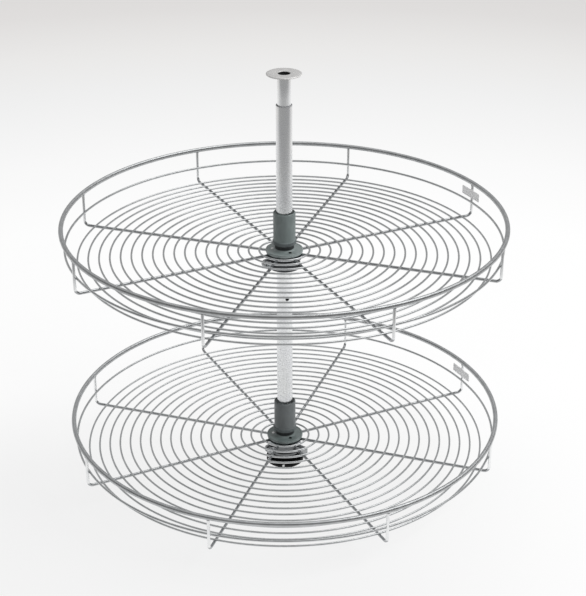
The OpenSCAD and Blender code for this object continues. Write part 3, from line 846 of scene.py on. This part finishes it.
# Hubs: flange on the spokes, neck, sleeve with its skirt, and three screws
hubMould = {
    # radii in mm
    "bore": 13.56, "boss": 23.5, "flange": 31.5, "lip": 28.9, "neck": 16.5, "skirt": 20.2, "sleeve": 18.75,
    "mouth": 16.7,
    # heights in mm over the clamp collar's underside
    "bossLow": 22.7, "flangeLow": 27.4, "flangeHigh": 32.15, "skirtLow": 42.65, "skirtHigh": 48.65,
    "neckEnd": 51.65, "mouthLow": 96.6, "sleeveEnd": 99.15,
    "dish": 0.4, "neckFillet": 3.0, "topBevel": 1.4, "rounding": 0.5, "fineRounding": 0.2,
    "steps": 112, "neckSteps": 80, "screwSteps": 32,
    "fit": 0.05,    # gap between the neck and the sleeve
    "neckShow": (1.6, 1.2),    # the neck steps in by half a mm this far under the skirt's edge
    "skirtStep": (0.7, 0.5, 0.6),    # slope from the skirt to the sleeve: drop, overhang, rise
    # one of the three hub screws is painted pale as its highlight
    "screwCircle": 20.5, "screwTurn": 58, "screws": 3, "highlightScrew": 1,
    "head": 2.8, "headHigh": 2.2, "headSink": 0.8, "shank": 1.5, "shankDown": 2.5,
    "cross": (2.6, 0.6, 0.9),    # length, width and depth of a screw's cross recess
    "pinHole": 2.6, "pinDrop": 10.0, "pinSink": 0.35, "pinTurns": {"lower": 75, "upper": -105},
    "partingTurns": (-31, 149),    # where the two halves of the mould met
    "partingWide": 0.5, "partingProud": 0.14,
}
firstScrew = math.radians(hubMould["screwTurn"])
screwTurns = [firstScrew + i * fullTurn / hubMould["screws"] for i in range(hubMould["screws"])]


def hubTurned(name, section, steps):
    return turnedPiece(name, [(r, collarLow + z) for r, z in section], steps)


def hubFlangePiece():
    h = hubMould
    bore, boss, dish = h["bore"], h["boss"], h["flangeHigh"] - h["dish"]
    section = [(bore, h["bossLow"]), (boss, h["bossLow"]), (boss, h["flangeLow"]), (h["flange"], h["flangeLow"]),
               (h["flange"], h["flangeHigh"]), (h["lip"], h["flangeHigh"]), (h["lip"] - h["dish"], dish)]
    section += filletPoints(h["neck"], dish, h["neckFillet"])
    section += [(h["neck"], h["skirtLow"] - 1), (bore, h["skirtLow"] - 1), (bore, h["bossLow"])]
    piece = hubTurned("hubFlange", section, h["steps"])
    softenEdges(piece, h["rounding"])
    piece.data.materials.append(finishes["hub_grey"])
    for turn in screwTurns:
        cutWith(piece, drillAt(h["head"] * 2 + 0.1, collarLow + dish - h["headSink"], collarLow + h["flangeHigh"] + 2,
                               turn, radius=h["screwCircle"]))
    return piece


def hubNeckPiece():
    # the plain bearing that shows as the neck and runs up inside the sleeve; its black is partly real acetal and
    # partly painted shade under the skirt
    h = hubMould
    low, high = h["flangeHigh"] + h["neckFillet"] * 0.6, h["neckEnd"]
    inner, outer, slim = h["bore"] + 0.1, h["neck"] + 0.04, h["neck"] - 0.5
    section = [(inner, low), (outer, low), (outer, h["skirtLow"] - h["neckShow"][0]),
               (slim, h["skirtLow"] - h["neckShow"][1]), (slim, high), (inner, high), (inner, low)]
    piece = hubTurned("hubNeck", section, h["neckSteps"])
    softenEdges(piece, h["fineRounding"], 2)
    return piece


def hubSleevePiece():
    h = hubMould
    neck, skirt, sleeve, mouth, end = h["neck"] + h["fit"], h["skirt"], h["sleeve"], h["mouth"], h["sleeveEnd"]
    drop, overhang, rise = h["skirtStep"]
    section = [(neck, h["skirtLow"]), (skirt, h["skirtLow"]), (skirt, h["skirtHigh"] - drop),
               (sleeve + overhang, h["skirtHigh"]), (sleeve, h["skirtHigh"] + rise), (sleeve, end - h["topBevel"]),
               (sleeve - h["topBevel"] * 0.8, end), (mouth, end), (mouth, h["mouthLow"]),
               (h["bore"], h["mouthLow"] - 1), (h["bore"], h["neckEnd"]), (neck, h["neckEnd"]), (neck, h["skirtLow"])]
    piece = hubTurned("hubSleeve", section, h["steps"])
    softenEdges(piece, h["rounding"], angle=40)
    piece.data.materials.append(finishes["hub_grey"])
    skirtEnd = (collarLow + h["skirtHigh"] - 0.2) * mm
    # the skirt's faces are painted darker
    paintWhere(piece, skirtFinish, lambda co: co.z < skirtEnd and math.hypot(co.x, co.y) > h["neck"] * mm)
    low, high = collarLow + h["skirtHigh"] + 1, collarLow + end - h["topBevel"] - 1
    pieces = [piece]
    for turn in h["partingTurns"]:
        seam = blockAt((1, h["partingWide"], high - low), (sleeve - 0.5 + h["partingProud"], 0, (low + high) / 2),
                       math.radians(turn))
        softenEdges(seam, h["partingProud"], 2)
        seam.data.materials.append(finishes["hub_grey"])
        pieces.append(seam)
    return joinPieces(pieces, "hubSleeve")


def pinInSleeve(sleeve, turn, base):
    # small cross hole near the mouth, closed by a pin that sits just under the surface
    h = hubMould
    start, height = h["bore"] + 1, base + h["sleeveEnd"] - h["pinDrop"]
    cutWith(sleeve, drillAt(h["pinHole"], start, h["sleeve"] + 1, turn, height))
    pin = drillAt(h["pinHole"] - 0.1, start, h["sleeve"] - h["pinSink"], turn, height)
    softenEdges(pin, h["fineRounding"], 2)
    pin.data.materials.append(finishes["hub_grey"])
    return joinPieces([sleeve, pin], sleeve.name)


def hubScrewSet():
    h = hubMould
    low = collarLow + h["bossLow"] - h["shankDown"]
    base = collarLow + h["flangeHigh"] - h["dish"] - h["headSink"]
    top, head = base + h["headHigh"], h["head"]
    section = [(0, low), (h["shank"], low), (h["shank"], base), (head, base), (head, base + h["headHigh"] * 0.4),
               (head * 0.84, top - 0.5), (head * 0.5, top - 0.08), (0, top)]
    screw = turnedPiece("screw", section, h["screwSteps"], (h["screwCircle"], 0))
    length, width, depth = h["cross"]
    for size in ((length, width, depth * 2), (width, length, depth * 2)):
        cutWith(screw, blockAt(size, (h["screwCircle"], 0, top)))
    screws = copiedRound(screw, "screw", screwTurns)
    for i, one in enumerate(screws):
        # one screw is painted pale as its highlight; the others are blackened
        one.data.materials.append(highlightScrewFinish if i == h["highlightScrew"] else darkScrewFinish)
    return joinPieces(screws, "hubScrews")


dressBothTiers(hubFlangePiece(), "HubFlange", None, ["hub_flange"])
# painted light: the upper flange is painted paler than the lower one
bpy.data.objects["upperHubFlange"].data.materials[0] = upperFlangeLitFinish
# the neck's black is partly painted shade under the skirt
dressBothTiers(hubNeckPiece(), "HubNeck", finishes["guide_black"], [])
lowerSleeve = hubSleevePiece()
upperSleeve = copyPiece(lowerSleeve, "upperHubSleeve", lift=tierLift)
# the two sleeves' pins sit at other turns
lowerSleeve = pinInSleeve(lowerSleeve, math.radians(hubMould["pinTurns"]["lower"]), collarLow)
# painted shade: the lower sleeve is painted darker than the upper one
lowerSleeve.data.materials[0] = lowSleeveShadeFinish
lowerSleeve.name = lowerSleeve.data.name = "lowerHubSleeve"
finishPiece(lowerSleeve, None, tierBody["lower"], ["lower_hub_sleeve"])
upperSleeve = pinInSleeve(upperSleeve, math.radians(hubMould["pinTurns"]["upper"]), collarLow + collarLift)
finishPiece(upperSleeve, None, tierBody["upper"], ["upper_hub_sleeve"])
dressBothTiers(hubScrewSet(), "HubScrews", None, ["hub_screws"])
print("hubs made")

# Floor, light and background, in metres
studio = {
    "floorSize": 60.0,
    "floorGap": 0.2 * mm,    # the floor lies this far under the foot
    "farGrey": "#DCDAD9",
    "fadeReach": 3.5,    # from the post to where the floor has turned grey
    "fade": ((1.2, "#FFFFFF"), (1.6, "#FBFBFB"), (1.9, "#F6F6F6"), (2.2, "#F1F1F1"), (2.6, "#EBEAE9"),
             (3.1, "#E0DEDD"), (3.5, "#DCDAD9")),
    "glowReach": (1.4, 3.4),    # further out the floor is backdrop only
    "floorGlow": 0.85,    # share of the floor's brightness that no shadow takes away
    "dimOut": (0.3, 1.8),    # metal mirrors a floor that dims away from the post
    "dimAhead": (1.2, -2.0),    # and from back to front, where the white sweep gives way to the room
    "roomFloor": "#989898",
    "shade": "#F5F5F5",    # soft shade in front of the unit and to its left
    "shadeAhead": (0.3, -0.15),
    "shadeAside": (0.7, 0.0),
    "keyPlace": (6.0, -1.5, 5.2),
    "keyAim": 0.35,    # height on the post that the lamp points at
    "keySize": 5.4,
    "keyPower": 500.0,
    "softboxAt": (0.44, 0.19, 0.88),    # its direction in reflections
    "softboxEdge": (0.88, 1.0),    # cosine of its outer and inner edge
    "softboxGlow": 2.0,
    "fillLevel": 0.52,    # brightness of the sky that lights dull surfaces
    # what metal mirrors: the dim room in front, a grey backdrop behind, white cloth overhead
    "room": ((0.0, "#A8A8A8"), (0.12, "#8A8A8A"), (0.3, "#747474"), (0.62, "#646464"), (0.82, "#B0B0B0"),
             (1.0, "#F4F4F4")),
    "backdrop": ((0.0, "#C0C0C0"), (0.2, "#AEAEAE"), (0.45, "#AEAEAE"), (0.7, "#D8D8D8"), (1.0, "#F4F4F4")),
    "backdropFrom": (0.1, 0.7),    # how far a direction points back where the one turns into the other
}


def setStops(ramp, stops):
    made = ramp.color_ramp.elements
    while len(made) > 1:
        made.remove(made[-1])
    made[0].position, made[0].color = stops[0][0], linearColour(stops[0][1])
    for position, colour in stops[1:]:
        made.new(position).color = linearColour(colour)


def ends(pair, **more):  # where a change starts and ends
    return {"From Min": pair[0], "From Max": pair[1], **more}


def seenOrMirrored(tree):
    # 1 for a ray of the camera, a reflection or a refraction
    path = addNode(tree, "LightPath").outputs
    first = addNode(tree, "Math", {"operation": "MAXIMUM"}, {0: path["Is Camera Ray"], 1: path["Is Glossy Ray"]})
    shown = addNode(tree, "Math", {"operation": "MAXIMUM"}, {0: first.outputs[0], 1: path["Is Transmission Ray"]})
    return path, shown.outputs[0]


def paleFloor():
    # Matt white vinyl sweep: white near the object that falls off to grey far back, with a painted soft shadow in
    # front of the unit and to its left
    material, place = startMaterial("matt white sweep", {"Metallic": 0.0, "Specular IOR Level": 0.2})
    tree = material.node_tree
    dull = tree.nodes["Principled BSDF"]
    soft, times = {"interpolation_type": "SMOOTHSTEP"}, {"operation": "MULTIPLY"}
    far = fromAxis(place)
    share = addNode(tree, "Math", {"operation": "DIVIDE", 1: studio["fadeReach"]}, {0: far})
    ramp = addNode(tree, "ValToRGB", links={"Fac": share.outputs[0]})
    setStops(ramp, [(reach / studio["fadeReach"], colour) for reach, colour in studio["fade"]])
    axes = addNode(tree, "SeparateXYZ", links={0: place})
    # painted soft shadow in front of the unit and to its left
    ahead = addNode(tree, "MapRange", ends(studio["shadeAhead"], **soft), {"Value": axes.outputs["Y"]})
    aside = addNode(tree, "MapRange", ends(studio["shadeAside"], **soft), {"Value": axes.outputs["X"]})
    shaded = addNode(tree, "Math", times, {0: ahead.outputs["Result"], 1: aside.outputs["Result"]})
    cloth = addNode(tree, "Mix", {"data_type": "RGBA", 7: linearColour(studio["shade"])},
                    {0: shaded.outputs[0], 6: ramp.outputs["Color"]})
    tree.links.new(cloth.outputs[2], dull.inputs["Base Color"])
    weave = grain(place, 3, detail=2)
    rough = addNode(tree, "MapRange", {**usedNoise, "To Min": 0.75, "To Max": 0.9}, {"Value": weave})
    tree.links.new(rough.outputs["Result"], dull.inputs["Roughness"])
    path, shown = seenOrMirrored(tree)
    outward = addNode(tree, "MapRange", ends(studio["dimOut"]), {"Value": far})
    forward = addNode(tree, "MapRange", ends(studio["dimAhead"]), {"Value": axes.outputs["Y"]})
    both = addNode(tree, "Math", times, {0: outward.outputs["Result"], 1: forward.outputs["Result"]})
    dim = addNode(tree, "Math", times, {0: both.outputs[0], 1: path["Is Glossy Ray"]})
    shownColour = addNode(tree, "Mix", {"data_type": "RGBA", 7: linearColour(studio["roomFloor"])},
                          {0: dim.outputs[0], 6: cloth.outputs[2]})
    glow = addNode(tree, "Emission", {"Strength": 1.0}, {"Color": shownColour.outputs[2]})
    rising = ends(studio["glowReach"], **{"To Min": studio["floorGlow"], "To Max": 1.0}, **soft)
    glowShare = addNode(tree, "MapRange", rising, {"Value": far})
    part = addNode(tree, "Math", times, {0: glowShare.outputs["Result"], 1: shown})
    mixed = addNode(tree, "MixShader", links={0: part.outputs[0], 1: dull.outputs[0], 2: glow.outputs[0]})
    tree.links.new(mixed.outputs["Shader"], tree.nodes["Material Output"].inputs["Surface"])
    return material


clearSelection()
bpy.ops.mesh.primitive_plane_add(size=studio["floorSize"], location=(0, 0, -studio["floorGap"]))
floor = bpy.context.active_object
floor.name = "studioFloor"
floor.data.materials.append(paleFloor())

world = bpy.data.worlds.new("studio")
bpy.context.scene.world = world
world.use_nodes = True
sky = world.node_tree
sky.nodes.clear()
direction = addNode(sky, "TexCoord").outputs["Generated"]
axes = addNode(sky, "SeparateXYZ", links={0: direction})
room = addNode(sky, "ValToRGB", links={"Fac": axes.outputs["Z"]})
setStops(room, studio["room"])
backdrop = addNode(sky, "ValToRGB", links={"Fac": axes.outputs["Z"]})
setStops(backdrop, studio["backdrop"])
behind = addNode(sky, "MapRange", ends(studio["backdropFrom"]), {"Value": axes.outputs["Y"]})
mirrored = addNode(sky, "Mix", {"data_type": "RGBA"},
                   {0: behind.outputs["Result"], 6: room.outputs["Color"], 7: backdrop.outputs["Color"]})
toSoftbox = addNode(sky, "VectorMath", {"operation": "DOT_PRODUCT", 1: studio["softboxAt"]}, {0: direction})
edge = ends(studio["softboxEdge"], **{"interpolation_type": "SMOOTHSTEP", "To Max": studio["softboxGlow"]})
inSoftbox = addNode(sky, "MapRange", edge, {"Value": toSoftbox.outputs["Value"]})
lit = addNode(sky, "Mix", {"data_type": "RGBA", "blend_type": "ADD", 0: 1.0},
              {6: mirrored.outputs[2], 7: inSoftbox.outputs["Result"]})
path, shown = seenOrMirrored(sky)
seen = addNode(sky, "Mix", {"data_type": "RGBA", 7: linearColour(studio["farGrey"])},
               {0: path["Is Camera Ray"], 6: lit.outputs[2]})
fill = addNode(sky, "Background", {"Color": linearColour("#FFFFFF"), "Strength": studio["fillLevel"]})
back = addNode(sky, "Background", {"Strength": 1.0}, {"Color": seen.outputs[2]})
skyMix = addNode(sky, "MixShader", links={0: shown, 1: fill.outputs[0], 2: back.outputs[0]})
addNode(sky, "OutputWorld", links={"Surface": skyMix.outputs["Shader"]})

key = bpy.data.objects.new("softbox", bpy.data.lights.new("softbox", "AREA"))
bpy.context.scene.collection.objects.link(key)
key.data.shape = "DISK"
key.data.size = studio["keySize"]
key.data.energy = studio["keyPower"]
key.location = studio["keyPlace"]
key.visible_glossy = False    # metal mirrors the room instead, as the softbox would break the wires' lines
aim = -key.location
aim.z += studio["keyAim"]
key.rotation_euler = aim.to_track_quat("-Z", "Y").to_euler()
print("studio lit")
